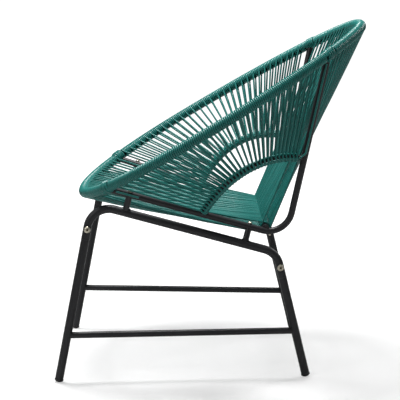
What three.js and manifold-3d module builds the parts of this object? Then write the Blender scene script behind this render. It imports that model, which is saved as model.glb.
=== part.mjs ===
// An acapulco chair: an egg-shaped rim and a bucket of cord loops on a bolted frame of bent tubes.
// Millimetres, +Z up. The front of the chair is towards -X and the sitter's right side towards +Y.
import * as THREE from 'three';
import { mergeVertices } from 'three/addons/utils/BufferGeometryUtils.js';
import Module from 'manifold-3d';

const wasm = await Module();
wasm.setup();
const degrees = THREE.MathUtils.degToRad;

// Fits and cord
const CLEARANCE = 0.3;
const OVERRUN = 40;
const CORD_DIAMETER = 4.8;
const CORD_FACET_SHARE = 0.77;

// Rim: a closed egg of tube in a plane that slopes down to the front, sized on its centre line
const RIM_LENGTH = 793.6;
const RIM_WIDTH = 682.8;
const RIM_HEIGHT = 631.1;
const RIM_SLOPE = degrees(30.76);
const RIM_RADIUS = 8;
const RIM_POWER = 0.917;
const RIM_TAPER_SHARE = 0.154;
const RIM_STATIONS = 48;

// Side rails: from the front of the rim back under the seat, then bent up to the top of the rim
const RAIL_RADIUS = 8;
const RAIL_FRONT_SHARE = 0.79;
const RAIL_TOP_SHARE = 0.71;
const RAIL_FRONT_FALL = 3.85;
const RAIL_CORNER_BACK = 151.3;
const RAIL_CORNER_DROP = 290;
const RAIL_CORNER_SPREAD = 388.6;
const RAIL_BEND_RADIUS = 55;

// Side arcs: bowed tubes that hold the side loops, given by how far each end leads off its rail
const ARC_RADIUS = 6;
const ARC_FOOT_AHEAD = 211.1;
const ARC_HEAD_UP = 194.8;
const ARC_FOOT_RUN = 35;
const ARC_FOOT_BULGE = 53.9;
const ARC_FOOT_RISE = 68.3;
const ARC_HEAD_RUN = 122.5;
const ARC_HEAD_BULGE = 61.2;
const ARC_HEAD_RISE = 26.3;

// Cross bar over the rails, just ahead of their bend
const BAR_RADIUS = 8;
const BAR_AHEAD = 54;
const BAR_LIFT = 7.5;
const BAR_OVERHANG = 3;

// Leg frames: on each side a top tube under the rail, bent down into a front and a rear leg
const LEG_RADIUS = 10;
const LEG_WALL = 1.7;
const LEG_FRAME_REAR_OUT = 13.5;
const LEG_FRAME_FRONT_IN = 15;
const LEG_FRAME_FRONT_FALL = 6.1;
const TOP_TUBE_DROP = 40.5;
const TOP_TUBE_FRONT_PAST = 27.7;
const TOP_TUBE_REAR_AHEAD = 13.1;
const FRONT_BEND_RADIUS = 50;
const REAR_BEND_RADIUS = 50.5;
const LEG_SPLAY = degrees(0.3);
const FRONT_LEG_LEAN = degrees(11.1);
const REAR_LEG_LEAN = degrees(13.66);
const BOLT_PAST_BEND = 7.1;
const SEAM_PAST_BOLT = 25;
const SPIGOT_ROOT = 12;

// Stretchers between the legs, spacers between rails and top tubes
const STRETCHER_RADIUS = 7.8;
const STRETCHER_HEIGHT = 114;
const SPACER_RADIUS = 7.5;
const SPACER_FRONT_BEHIND = 52.8;
const SPACER_REAR_AHEAD = 92.7;

// Foot plugs: a domed foot that the floor meets, a flange and a stem in the leg
const FOOT_RADIUS = 10.7;
const FOOT_DOME_HEIGHT = 5;
const FOOT_FLANGE = 3.5;
const FOOT_STEM = 18;
const FOOT_FLAT_DEPTH = 0.5;

// Bolts and nuts
const BOLT_RADIUS = 3;
const LEG_BOLT_HEAD_RADIUS = 8;
const LEG_BOLT_HEAD_HEIGHT = 4.4;
const SEAT_BOLT_HEAD_RADIUS = 5.8;
const SEAT_BOLT_HEAD_HEIGHT = 4;
const SEAT_BOLT_GRIP = 16;
const BOLT_SOCKET_RADIUS = 2.9;
const BOLT_SOCKET_DEPTH = 2;
const BOLT_POINT = 2;
const NUT_RADIUS = 6.3;
const NUT_HEIGHT = 5;

// Cord loops: pitches on the cross bar and the side arcs, and the thicker windings over the joints
const BAR_CORD_GAP = 3.6;
const ARC_CORD_GAP = 8.8;
const ARC_CORD_MARGIN = 14;
const JOINT_WRAP_LENGTH = 28;
const JOINT_WRAP_EXTRA = 1.2;

// Facets
const TUBE_SIDES = 10;
const SLEEVE_SIDES = 8;
const BOLT_SIDES = 8;
const NUT_SIDES = 6;
const BEND_STEP = degrees(15.8);
const ARC_STEPS = 14;
const WELD_DISTANCE = 0.001;

// Finishes
const blackSteel = new THREE.MeshStandardMaterial({ color: 0x2b2b2e, roughness: 0.45, metalness: 0.3 });
const greenCord = new THREE.MeshStandardMaterial({ color: 0x3f7f79, roughness: 0.5, metalness: 0 });
const zinc = new THREE.MeshStandardMaterial({ color: 0xb9b29b, roughness: 0.35, metalness: 0.9 });
const blackPlastic = new THREE.MeshStandardMaterial({ color: 0x1f1f20, roughness: 0.6, metalness: 0 });

const UP = new THREE.Vector3(0, 0, 1);
const RIGHT = new THREE.Vector3(0, 1, 0);

function direction(from, to) {
  return to.clone().sub(from).normalize();
}

function stepFrom(point, heading, distance) {
  return point.clone().addScaledVector(heading, distance);
}

// The part of a vector that is square to an axis, as a unit vector.
function squareTo(axis, vector) {
  return vector.clone().addScaledVector(axis, -vector.dot(axis)).normalize();
}

// A route of straight steps between stations, read by the distance along it.
class Route extends THREE.Curve {
  constructor(stations, start = 0) {
    super();
    this.stations = stations;
    this.marks = [start];
    for (let i = 1; i < stations.length; i++) {
      this.marks.push(this.marks[i - 1] + stations[i].distanceTo(stations[i - 1]));
    }
  }

  get end() {
    return this.marks.at(-1);
  }

  spot(distance) {
    const next = this.marks.findIndex((mark, i) => i > 0 && mark >= distance);
    const i = next < 0 ? this.marks.length - 1 : next;
    const share = (distance - this.marks[i - 1]) / (this.marks[i] - this.marks[i - 1]);
    const point = this.stations[i - 1].clone().lerp(this.stations[i], share);
    return { point, along: direction(this.stations[i - 1], this.stations[i]) };
  }

  part(from, to) {
    const between = (station, i) => this.marks[i] > from + CLEARANCE && this.marks[i] < to - CLEARANCE;
    const inner = this.stations.filter(between);
    return new Route([this.spot(from).point, ...inner, this.spot(to).point]);
  }

  getPointAt(share) {
    return this.stations[Math.round(share * (this.stations.length - 1))].clone();
  }

  getTangentAt(share) {
    const last = this.stations.length - 1;
    const i = Math.round(share * last);
    const into = direction(this.stations[Math.max(i - 1, 0)], this.stations[Math.max(i, 1)]);
    const out = direction(this.stations[Math.min(i, last - 1)], this.stations[Math.min(i + 1, last)]);
    return into.add(out).normalize();
  }
}

// How far from its corner a bend of this radius starts.
function bendSetback(corner, before, after, radius) {
  const turn = direction(before, corner).angleTo(direction(corner, after));
  return radius * Math.tan(turn / 2);
}

// A route through corners, with an arc of the given radius at each inner one.
function bentRoute(corners, radii) {
  const stations = [corners[0]];
  for (let i = 1; i < corners.length - 1; i++) {
    const into = direction(corners[i - 1], corners[i]);
    const out = direction(corners[i], corners[i + 1]);
    const turn = into.angleTo(out);
    const radius = radii[i - 1];
    const start = stepFrom(corners[i], into, -bendSetback(corners[i], corners[i - 1], corners[i + 1], radius));
    const inward = squareTo(into, out);
    const centre = stepFrom(start, inward, radius);
    const steps = Math.ceil(turn / BEND_STEP);
    for (let k = 0; k <= steps; k++) {
      const angle = turn * k / steps;
      const spoke = inward.clone().multiplyScalar(-radius * Math.cos(angle));
      stations.push(centre.clone().add(spoke).addScaledVector(into, radius * Math.sin(angle)));
    }
  }
  stations.push(corners.at(-1));
  return new Route(stations);
}

function polygon(radius, sides) {
  const corners = [];
  for (let k = 0; k < sides; k++) {
    const angle = 2 * Math.PI * (k + 1 / 2) / sides;
    corners.push(new THREE.Vector2(radius * Math.cos(angle), radius * Math.sin(angle)));
  }
  return new THREE.Shape(corners);
}

// A solid tube or rod along a route.
function tube(route, radius, sides = TUBE_SIDES) {
  const steps = route.stations.length - 1;
  return new THREE.ExtrudeGeometry(polygon(radius, sides), { steps, extrudePath: route });
}

// The corner radius of a polygon that clears a round of this radius all round.
function clearOf(radius, sides = TUBE_SIDES) {
  return (radius + CLEARANCE) / Math.cos(Math.PI / sides);
}

// A straight rod from a point along a heading.
function rod(origin, heading, radius, length, sides = TUBE_SIDES) {
  const geometry = new THREE.CylinderGeometry(radius, radius, length, sides);
  return placed(geometry.rotateX(Math.PI / 2).translate(0, 0, length / 2), origin, heading);
}

// A round piece turned about an axis, from a profile of radii and heights.
function turned(profile, origin, heading, sides) {
  const points = profile.map(([radius, height]) => new THREE.Vector2(radius, height));
  return placed(new THREE.LatheGeometry(points, sides).rotateX(Math.PI / 2), origin, heading);
}

function placed(geometry, origin, heading) {
  const turn = new THREE.Quaternion().setFromUnitVectors(UP, heading);
  return geometry.applyQuaternion(turn).translate(origin.x, origin.y, origin.z);
}

// A closed skin over rings of corners, each ring running anticlockwise about the way ahead.
function skin(rings, joinsUp) {
  const sides = rings[0].length;
  const positions = rings.flat().flatMap((corner) => corner.toArray());
  const faces = [];
  const spans = joinsUp ? rings.length : rings.length - 1;
  for (let i = 0; i < spans; i++) {
    const here = i * sides;
    const next = ((i + 1) % rings.length) * sides;
    for (let j = 0; j < sides; j++) {
      const k = (j + 1) % sides;
      faces.push(here + j, here + k, next + k, here + j, next + k, next + j);
    }
  }
  const end = (rings.length - 1) * sides;
  for (let j = 1; j < sides - 1 && !joinsUp; j++) {
    faces.push(0, j + 1, j, end, end + j, end + j + 1);
  }
  const geometry = new THREE.BufferGeometry();
  geometry.setAttribute('position', new THREE.Float32BufferAttribute(positions, 3));
  return geometry.setIndex(faces);
}

// A geometry as a solid that can be joined and cut.
function solid(geometry) {
  const bare = geometry.clone();
  bare.deleteAttribute('normal');
  bare.deleteAttribute('uv');
  const merged = mergeVertices(bare, WELD_DISTANCE);
  const vertProperties = new Float32Array(merged.getAttribute('position').array);
  const triVerts = new Uint32Array(merged.getIndex().array);
  return new wasm.Manifold(new wasm.Mesh({ numProp: 3, vertProperties, triVerts }));
}

function joined(solids) {
  return solids.reduce((whole, piece) => whole.add(piece));
}

function cut(body, cutters) {
  return cutters.reduce((left, cutter) => left.subtract(cutter), body);
}

function shapeOf(body) {
  const mesh = body.getMesh();
  const geometry = new THREE.BufferGeometry();
  geometry.setAttribute('position', new THREE.BufferAttribute(mesh.vertProperties, 3));
  geometry.setIndex(new THREE.BufferAttribute(mesh.triVerts, 1));
  geometry.computeVertexNormals();
  return geometry;
}

// The same shape on the other side of the chair's middle plane.
function mirrored(geometry) {
  const other = geometry.clone().scale(1, -1, 1);
  const index = other.getIndex().array;
  for (let i = 0; i < index.length; i += 3) {
    [index[i], index[i + 1]] = [index[i + 1], index[i]];
  }
  other.computeVertexNormals();
  return other;
}

const chair = new THREE.Group();

function addPiece(name, body, material) {
  const mesh = new THREE.Mesh(shapeOf(body), material.clone());
  mesh.name = name;
  chair.add(mesh);
}

// A piece of the right side, and its mirror image on the left.
function addPair(name, body, material) {
  addPiece(`${name}_right`, body, material);
  const twin = new THREE.Mesh(mirrored(shapeOf(body)), material.clone());
  twin.name = `${name}_left`;
  chair.add(twin);
}

// Rim: the egg's outline, its plane and its stations, read from the front middle round by the right
const rimMiddle = new THREE.Vector3(0, 0, RIM_HEIGHT);
const rimUphill = new THREE.Vector3(Math.cos(RIM_SLOPE), 0, Math.sin(RIM_SLOPE));
const rimNormal = new THREE.Vector3(-Math.sin(RIM_SLOPE), 0, Math.cos(RIM_SLOPE));

class RimOutline extends THREE.Curve {
  getPoint(share) {
    const angle = 2 * Math.PI * share;
    const soften = (value) => Math.sign(value) * Math.abs(value) ** RIM_POWER;
    const uphillShare = -soften(Math.cos(angle));
    const width = RIM_WIDTH / 2 * soften(Math.sin(angle)) * (1 - RIM_TAPER_SHARE * uphillShare);
    const point = stepFrom(rimMiddle, rimUphill, RIM_LENGTH / 2 * uphillShare);
    return stepFrom(point, RIGHT, width);
  }
}

const rimOutline = new RimOutline();
rimOutline.arcLengthDivisions = RIM_STATIONS * RIM_STATIONS;
const rimRing = rimOutline.getSpacedPoints(RIM_STATIONS).slice(0, RIM_STATIONS);
const rimBefore = rimRing.slice(RIM_STATIONS / 2);
const rimPerimeter = new Route([...rimRing, rimRing[0]]).end;
const rimRoute = new Route([...rimBefore, ...rimRing, rimRing[0]], -rimPerimeter / 2);

function rimSolid(radius, sides) {
  const rings = rimRing.map((station, i) => {
    const before = rimRing.at(i - 1);
    const after = rimRing[(i + 1) % RIM_STATIONS];
    const ahead = direction(before, station).add(direction(station, after)).normalize();
    const outward = ahead.clone().cross(rimNormal);
    const corners = [];
    for (let k = 0; k < sides; k++) {
      const angle = 2 * Math.PI * (k + 1 / 2) / sides;
      const across = stepFrom(station, outward, radius * Math.cos(angle));
      corners.push(stepFrom(across, rimNormal, -radius * Math.sin(angle)));
    }
    return corners;
  });
  return solid(skin(rings, true));
}

// The distance along the right half of the rim to where it has climbed this far from its middle.
function rimDistance(climb) {
  const climbs = rimRing.map((station) => station.clone().sub(rimMiddle).dot(rimUphill));
  const i = climbs.findIndex((value) => value > climb);
  const share = (climb - climbs[i - 1]) / (climbs[i] - climbs[i - 1]);
  return rimPerimeter * (i - 1 + share) / RIM_STATIONS;
}

const frontJoint = rimDistance(-RIM_LENGTH / 2 * RAIL_FRONT_SHARE);
const topJoint = rimDistance(RIM_LENGTH / 2 * RAIL_TOP_SHARE);
const rim = rimSolid(RIM_RADIUS, TUBE_SIDES);
const rimRoom = rimSolid(clearOf(RIM_RADIUS, SLEEVE_SIDES), SLEEVE_SIDES);
addPiece('rim_tube', rim, blackSteel);

// Side rails: the route of the right one, its heading along the seat and its way up the back
const railFront = stepFrom(rimRoute.spot(frontJoint).point, UP, -RAIL_FRONT_FALL);
const railTop = rimRoute.spot(topJoint).point;
const cornerHeight = RIM_HEIGHT - RAIL_CORNER_DROP;
const railCorner = new THREE.Vector3(RAIL_CORNER_BACK, RAIL_CORNER_SPREAD / 2, cornerHeight);
const railRoute = bentRoute([railFront, railCorner, railTop], [RAIL_BEND_RADIUS]);
const railAhead = direction(railCorner, railFront);
const upBack = direction(railCorner, railTop);
const railRoom = solid(tube(railRoute, clearOf(RAIL_RADIUS)));
const railRoomLeft = solid(mirrored(shapeOf(railRoom)));

// The leg frame's plane: it runs nearly under the rail and splays out towards the floor
const frameRear = stepFrom(railCorner, RIGHT, LEG_FRAME_REAR_OUT);
const frameFront = stepFrom(stepFrom(railFront, RIGHT, -LEG_FRAME_FRONT_IN), UP, -LEG_FRAME_FRONT_FALL);
const frameRun = frameRear.distanceTo(frameFront);
const ahead = direction(frameRear, frameFront);
const splayed = new THREE.Vector3(0, Math.sin(LEG_SPLAY), -Math.cos(LEG_SPLAY));
const under = squareTo(ahead, splayed);
const outside = under.clone().cross(ahead).normalize();

function legHeading(lean, towardsBack) {
  const x = towardsBack * Math.sin(lean);
  const z = -Math.cos(lean);
  const y = -(outside.x * x + outside.z * z) / outside.y;
  return new THREE.Vector3(x, y, z).normalize();
}

function topTubeSpot(aheadOfRear) {
  return stepFrom(stepFrom(frameRear, ahead, aheadOfRear), under, TOP_TUBE_DROP);
}

const frontApex = topTubeSpot(frameRun + TOP_TUBE_FRONT_PAST);
const rearApex = topTubeSpot(TOP_TUBE_REAR_AHEAD);

// Spacers lean from the top tube to the rail over it, and a bolt comes down through the rail
const seatBoltLength = RAIL_RADIUS * 2 + SEAT_BOLT_GRIP;
const spacers = Object.entries({ front: frameRun - SPACER_FRONT_BEHIND, rear: SPACER_REAR_AHEAD });
const spacerPlaces = spacers.map(([end, place]) => {
  const top = railCorner.clone().lerp(railFront, place / frameRun);
  const foot = topTubeSpot(place);
  const down = direction(top, foot);
  const start = stepFrom(top, down, -OVERRUN);
  const depth = OVERRUN + RAIL_RADIUS + SEAT_BOLT_GRIP + CLEARANCE;
  const boltRoom = solid(rod(start, down, clearOf(BOLT_RADIUS, BOLT_SIDES), depth, BOLT_SIDES));
  return { end, top, foot, down, boltRoom };
});
const seatBoltRoom = spacerPlaces.map((place) => place.boltRoom);
addPair('side_rail', cut(solid(tube(railRoute, RAIL_RADIUS)), [rimRoom, ...seatBoltRoom]), blackSteel);

// A dome-headed bolt with a socket: the head sits on the origin and the shank goes down from it.
function boltSolid(origin, heading, length, headRadius, headHeight) {
  const domeShares = [[1, 0], [1, 0.35], [0.82, 0.75], [0.45, 0.96], [0, 1]];
  const head = domeShares.map(([outShare, upShare]) => [headRadius * outShare, headHeight * upShare]);
  const profile = [[0, -length], [BOLT_RADIUS, -length], [BOLT_RADIUS, 0], ...head];
  const body = solid(turned(profile, origin, heading, BOLT_SIDES));
  const socketFloor = stepFrom(origin, heading, headHeight - BOLT_SOCKET_DEPTH);
  return cut(body, [solid(rod(socketFloor, heading, BOLT_SOCKET_RADIUS, OVERRUN, NUT_SIDES))]);
}

// Leg frames: each end of the top tube has a straight socket past its bend for the leg's spigot
const legPlaces = {
  front: {
    apex: frontApex,
    beyond: rearApex,
    heading: legHeading(FRONT_LEG_LEAN, -1),
    bendRadius: FRONT_BEND_RADIUS,
  },
  rear: {
    apex: rearApex,
    beyond: frontApex,
    heading: legHeading(REAR_LEG_LEAN, 1),
    bendRadius: REAR_BEND_RADIUS,
  },
};
const boreRadius = LEG_RADIUS - LEG_WALL;
const spigotRadius = boreRadius * Math.cos(Math.PI / TUBE_SIDES) - CLEARANCE;

for (const place of Object.values(legPlaces)) {
  const { apex, beyond, heading, bendRadius } = place;
  const bendEnd = bendSetback(apex, beyond, stepFrom(apex, heading, OVERRUN), bendRadius);
  place.socketTop = stepFrom(apex, heading, bendEnd);
  place.bolt = stepFrom(place.socketTop, heading, BOLT_PAST_BEND);
  place.seam = stepFrom(place.bolt, heading, SEAM_PAST_BOLT);
  const socketReach = OVERRUN + place.seam.distanceTo(place.socketTop);
  place.socket = solid(rod(place.socketTop, heading, boreRadius, socketReach));
  const boltStart = stepFrom(place.bolt, outside, -OVERRUN);
  place.boltRoom = solid(rod(boltStart, outside, clearOf(BOLT_RADIUS, BOLT_SIDES), 2 * OVERRUN, BOLT_SIDES));
}

const { front, rear } = legPlaces;
const topTubeCorners = [front.seam, frontApex, rearApex, rear.seam];
const topTubeRoute = bentRoute(topTubeCorners, [FRONT_BEND_RADIUS, REAR_BEND_RADIUS]);
const topTubeCuts = [front.socket, rear.socket, front.boltRoom, rear.boltRoom];
const topTube = cut(solid(tube(topTubeRoute, LEG_RADIUS)), topTubeCuts);
const topTubeRoom = solid(tube(topTubeRoute, clearOf(LEG_RADIUS)));
addPair('leg_top_tube', topTube, blackSteel);

for (const { end, top, foot, down, boltRoom } of spacerPlaces) {
  const spacer = solid(rod(top, down, SPACER_RADIUS, top.distanceTo(foot)));
  addPair(`spacer_${end}`, cut(spacer, [railRoom, topTubeRoom, boltRoom]), blackSteel);
  const boltSeat = stepFrom(top, down, -(RAIL_RADIUS + CLEARANCE));
  const headUp = down.clone().negate();
  const seatBolt = boltSolid(boltSeat, headUp, seatBoltLength, SEAT_BOLT_HEAD_RADIUS, SEAT_BOLT_HEAD_HEIGHT);
  addPair(`seat_bolt_${end}`, seatBolt, zinc);
}

// Feet: a domed plug whose dome is cut flat where it stands on the floor
const domeRadius = (FOOT_RADIUS ** 2 + FOOT_DOME_HEIGHT ** 2) / (2 * FOOT_DOME_HEIGHT);
const domeHalfAngle = Math.asin(FOOT_RADIUS / domeRadius);
const floorSlab = new THREE.BoxGeometry(4 * RIM_LENGTH, 4 * RIM_WIDTH, OVERRUN);
const floorCut = solid(floorSlab.translate(0, 0, -OVERRUN / 2));

function footProfile() {
  const domeSteps = 3;
  const profile = [];
  for (let k = 0; k <= domeSteps; k++) {
    const angle = domeHalfAngle * k / domeSteps;
    profile.push([domeRadius * Math.sin(angle), -domeRadius * Math.cos(angle)]);
  }
  const flangeTop = FOOT_DOME_HEIGHT - domeRadius + FOOT_FLANGE;
  const stemTop = flangeTop + FOOT_STEM;
  profile.push([FOOT_RADIUS, flangeTop], [spigotRadius, flangeTop], [spigotRadius, stemTop], [0, stemTop]);
  return profile;
}

// Legs: a tube from the foot plug to the seam, open at the foot, with a spigot up into the top tube
for (const [end, place] of Object.entries(legPlaces)) {
  const { heading, seam } = place;
  const upwards = heading.clone().negate();
  const domeHeight = domeRadius - FOOT_FLAT_DEPTH;
  place.domeCentre = stepFrom(seam, heading, (seam.z - domeHeight) / -heading.z);
  const flangeTop = FOOT_DOME_HEIGHT - domeRadius + FOOT_FLANGE;
  const legStart = stepFrom(place.domeCentre, upwards, flangeTop + CLEARANCE);
  const legLength = legStart.distanceTo(seam) - CLEARANCE;
  const spigotTop = legStart.distanceTo(place.socketTop) - CLEARANCE;
  const boreTop = legLength - SPIGOT_ROOT;
  const profile = [[0, boreTop], [boreRadius, boreTop], [boreRadius, 0], [LEG_RADIUS, 0],
    [LEG_RADIUS, legLength], [spigotRadius, legLength], [spigotRadius, spigotTop], [0, spigotTop]];
  const leg = solid(turned(profile, legStart, upwards, TUBE_SIDES));
  addPair(`${end}_leg`, cut(leg, [place.boltRoom]), blackSteel);
  place.legRoom = solid(rod(legStart, upwards, clearOf(LEG_RADIUS), legLength));
  const foot = solid(turned(footProfile(), place.domeCentre, upwards, TUBE_SIDES));
  addPair(`foot_plug_${end}`, cut(foot, [floorCut]), blackPlastic);

  const boltSeat = stepFrom(place.bolt, outside, LEG_RADIUS + CLEARANCE);
  const grip = 2 * (LEG_RADIUS + CLEARANCE) + NUT_HEIGHT + BOLT_POINT;
  const legBolt = boltSolid(boltSeat, outside, grip, LEG_BOLT_HEAD_RADIUS, LEG_BOLT_HEAD_HEIGHT);
  addPair(`leg_bolt_${end}`, legBolt, zinc);
  const nutSeat = stepFrom(place.bolt, outside, -(LEG_RADIUS + CLEARANCE));
  const nut = solid(rod(nutSeat, outside.clone().negate(), NUT_RADIUS, NUT_HEIGHT, NUT_SIDES));
  addPair(`leg_nut_${end}`, cut(nut, [place.boltRoom]), blackSteel);
}

// Stretchers: from the axis of the front leg to that of the rear leg, saddled to both
function legSpotAt(place, height) {
  return stepFrom(place.seam, place.heading, (place.seam.z - height) / -place.heading.z);
}

const stretcherRoute = new Route([legSpotAt(front, STRETCHER_HEIGHT), legSpotAt(rear, STRETCHER_HEIGHT)]);
const stretcher = solid(tube(stretcherRoute, STRETCHER_RADIUS));
addPair('stretcher', cut(stretcher, [front.legRoom, rear.legRoom]), blackSteel);

// Side arcs, bowed out between the seat run and the back run of the rail
const arcFoot = stepFrom(railCorner, railAhead, ARC_FOOT_AHEAD);
const arcHead = stepFrom(railCorner, upBack, ARC_HEAD_UP);
const arcFootLead = new THREE.Vector3(ARC_FOOT_RUN, ARC_FOOT_BULGE, ARC_FOOT_RISE).add(arcFoot);
const arcHeadLead = new THREE.Vector3(-ARC_HEAD_RUN, ARC_HEAD_BULGE, ARC_HEAD_RISE).add(arcHead);
const arcCurve = new THREE.CubicBezierCurve3(arcFoot, arcFootLead, arcHeadLead, arcHead);
const arcRoute = new Route(arcCurve.getSpacedPoints(ARC_STEPS));
addPair('side_arc', cut(solid(tube(arcRoute, ARC_RADIUS, SLEEVE_SIDES)), [railRoom]), blackSteel);

// Cross bar: it lies over both rails with saddled ends
const barMiddle = stepFrom(stepFrom(railCorner, railAhead, BAR_AHEAD), under, -BAR_LIFT);
const barHalf = barMiddle.y + BAR_OVERHANG;
const barEnd = barMiddle.clone().setY(-barHalf);
const barRoute = new Route([barEnd, barMiddle.clone().setY(barHalf)]);
const bar = solid(tube(barRoute, BAR_RADIUS));
addPiece('cross_bar', cut(bar, [railRoom, railRoomLeft]), blackSteel);

const sleeveRadius = RIM_RADIUS + CLEARANCE + CORD_DIAMETER;
const wrapRadius = sleeveRadius + JOINT_WRAP_EXTRA;

// The corner radius of a polygon that is as full as a round of this radius.
function fullCorner(radius, sides) {
  return radius * Math.sqrt(2 * Math.PI / sides / Math.sin(2 * Math.PI / sides));
}

// One loop of cord: from the skin of the rim's winding, round its holder, back to the winding's far skin.
function cordLoop(rimSpot, holderSpot, holderRadius) {
  const half = CORD_DIAMETER / 2 * CORD_FACET_SHARE;
  const away = direction(rimSpot.point, holderSpot.point);
  const reach = squareTo(holderSpot.along, away);
  const face = away.clone().cross(holderSpot.along).normalize();
  const rimFace = away.clone().cross(rimSpot.along).normalize();
  rimFace.multiplyScalar(Math.sign(rimFace.dot(face)));
  const turn = holderRadius + CLEARANCE + CORD_DIAMETER / 2;
  const beyond = stepFrom(holderSpot.point, reach, turn);
  const stations = [
    stepFrom(rimSpot.point, rimFace, sleeveRadius),
    stepFrom(beyond, face, turn),
    stepFrom(beyond, face, -turn),
    stepFrom(rimSpot.point, rimFace, -sleeveRadius),
  ];
  const last = stations.length - 1;
  const rimAlong = rimSpot.along.clone().multiplyScalar(Math.sign(rimSpot.along.dot(holderSpot.along)));
  const axes = [rimAlong, holderSpot.along, holderSpot.along, rimAlong];
  const rings = stations.map((station, i) => {
    const into = direction(stations[Math.max(i - 1, 0)], stations[Math.max(i, 1)]);
    const out = direction(stations[Math.min(i, last - 1)], stations[Math.min(i + 1, last)]);
    const halfTurn = into.angleTo(out) / 2;
    const onward = into.add(out).normalize();
    const sideways = squareTo(onward, axes[i]);
    const inward = onward.clone().cross(sideways).multiplyScalar(half / Math.cos(halfTurn));
    return [[1, 1], [-1, 1], [-1, -1], [1, -1]].map(([a, b]) => {
      return stepFrom(stepFrom(station, sideways, a * half), inward, b);
    });
  });
  return solid(skin(rings, false));
}

// A winding of cord round a stretch of the rim.
function winding(from, to, radius, sides) {
  return solid(tube(rimRoute.part(from, to), fullCorner(radius, sides), sides));
}

// How far from a joint the nearest loop leaves the rim, so that it passes beside the joint's winding.
function loopMargin(joint, side, holderPoint) {
  const { point, along } = rimRoute.spot(joint);
  const angle = along.multiplyScalar(side).angleTo(direction(point, holderPoint));
  return JOINT_WRAP_LENGTH / 2 + CORD_DIAMETER + Math.max(wrapRadius / Math.tan(angle), 0);
}

// A panel: the winding on its stretch of rim, with loops evenly spread along the rim and its holder.
function panel(rimFrom, rimTo, holder, places, holderRadius) {
  const first = rimFrom + loopMargin(rimFrom, -1, holder.spot(places[0]).point);
  const last = rimTo - loopMargin(rimTo, 1, holder.spot(places.at(-1)).point);
  const span = last - first;
  const loops = places.map((place, i) => {
    const rimSpot = rimRoute.spot(first + span * i / (places.length - 1));
    return cordLoop(rimSpot, holder.spot(place), holderRadius);
  });
  const wrapEdge = JOINT_WRAP_LENGTH / 2 + CLEARANCE;
  const sleeve = winding(rimFrom + wrapEdge, rimTo - wrapEdge, sleeveRadius, SLEEVE_SIDES);
  return cut(joined([cut(sleeve, [rimRoom]), ...loops]), [railRoom, railRoomLeft]);
}

// Seat and back loops take turns along the bar, from its left end to its right end
const barPitch = CORD_DIAMETER + BAR_CORD_GAP;
const barRoomHalf = barMiddle.y - RAIL_RADIUS - CLEARANCE - CORD_DIAMETER / 2;
const barStepsHalf = Math.floor(barRoomHalf / barPitch);
const barPlaces = [];
for (let k = -barStepsHalf; k <= barStepsHalf; k++) {
  barPlaces.push(barHalf + k * barPitch);
}
const seatPlaces = barPlaces.filter((place, i) => i % 2 === 1);
const backPlaces = barPlaces.filter((place, i) => i % 2 === 0).reverse();
addPiece('seat_cords', panel(-frontJoint, frontJoint, barRoute, seatPlaces, BAR_RADIUS), greenCord);
addPiece('back_cords', panel(topJoint, rimPerimeter - topJoint, barRoute, backPlaces, BAR_RADIUS), greenCord);

// Side loops sit at an even pitch along the arc
const arcRoom = arcRoute.end - 2 * ARC_CORD_MARGIN;
const arcSteps = Math.floor(arcRoom / (CORD_DIAMETER + ARC_CORD_GAP));
const arcPlaces = [];
for (let k = 0; k <= arcSteps; k++) {
  arcPlaces.push(ARC_CORD_MARGIN + arcRoom * k / arcSteps);
}
addPair('side_cords', panel(frontJoint, topJoint, arcRoute, arcPlaces, ARC_RADIUS), greenCord);

// Joint wraps: a thicker winding where each rail meets the rim
for (const [end, joint] of [['front', frontJoint], ['top', topJoint]]) {
  const half = JOINT_WRAP_LENGTH / 2;
  const wrap = winding(joint - half, joint + half, wrapRadius, SLEEVE_SIDES);
  addPair(`joint_wrap_${end}`, cut(wrap, [rimRoom, railRoom]), greenCord);
}

// The chair stands on the floor at height zero, with the middle of its length over the origin
const bounds = new THREE.Box3().setFromObject(chair);
chair.position.x = -(bounds.min.x + bounds.max.x) / 2;

export default chair;
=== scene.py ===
import math
import random

import bmesh
import bpy
from mathutils import Matrix, Vector


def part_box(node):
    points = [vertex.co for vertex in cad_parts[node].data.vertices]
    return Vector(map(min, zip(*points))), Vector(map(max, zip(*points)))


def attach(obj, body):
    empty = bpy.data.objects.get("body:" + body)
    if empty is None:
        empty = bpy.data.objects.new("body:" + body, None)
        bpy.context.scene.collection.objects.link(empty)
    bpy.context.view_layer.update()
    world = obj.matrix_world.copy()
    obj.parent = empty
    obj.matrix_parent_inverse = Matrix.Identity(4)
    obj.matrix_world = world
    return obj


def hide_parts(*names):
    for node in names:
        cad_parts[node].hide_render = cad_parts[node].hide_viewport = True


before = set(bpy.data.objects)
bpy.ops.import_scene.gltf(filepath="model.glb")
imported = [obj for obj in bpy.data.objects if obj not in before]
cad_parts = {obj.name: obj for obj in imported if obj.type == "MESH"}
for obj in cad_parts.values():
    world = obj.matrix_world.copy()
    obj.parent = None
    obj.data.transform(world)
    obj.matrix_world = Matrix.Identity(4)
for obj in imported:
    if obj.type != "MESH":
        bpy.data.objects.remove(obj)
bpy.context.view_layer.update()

# Camera: a long lens at the photograph's place, a little above the chair's back and tipped down to it.
# It looks at the chair's left side, with the front of the chair to the left of the picture.
CAMERA_PLACE = Vector((-0.0602, -3.4761, 0.9915))
CAMERA_TIP = math.radians(9.71)
CAMERA_TURN = math.radians(0.51)
LENS_MM = 126.37
FILM_MM = 36

camera_data = bpy.data.cameras.new("camera")
camera_data.lens = LENS_MM
camera_data.sensor_width = FILM_MM
camera = bpy.data.objects.new("camera", camera_data)
camera.location = CAMERA_PLACE
camera.rotation_euler = (math.pi / 2 - CAMERA_TIP, 0, -CAMERA_TURN)
bpy.context.collection.objects.link(camera)
bpy.context.scene.camera = camera

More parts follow.
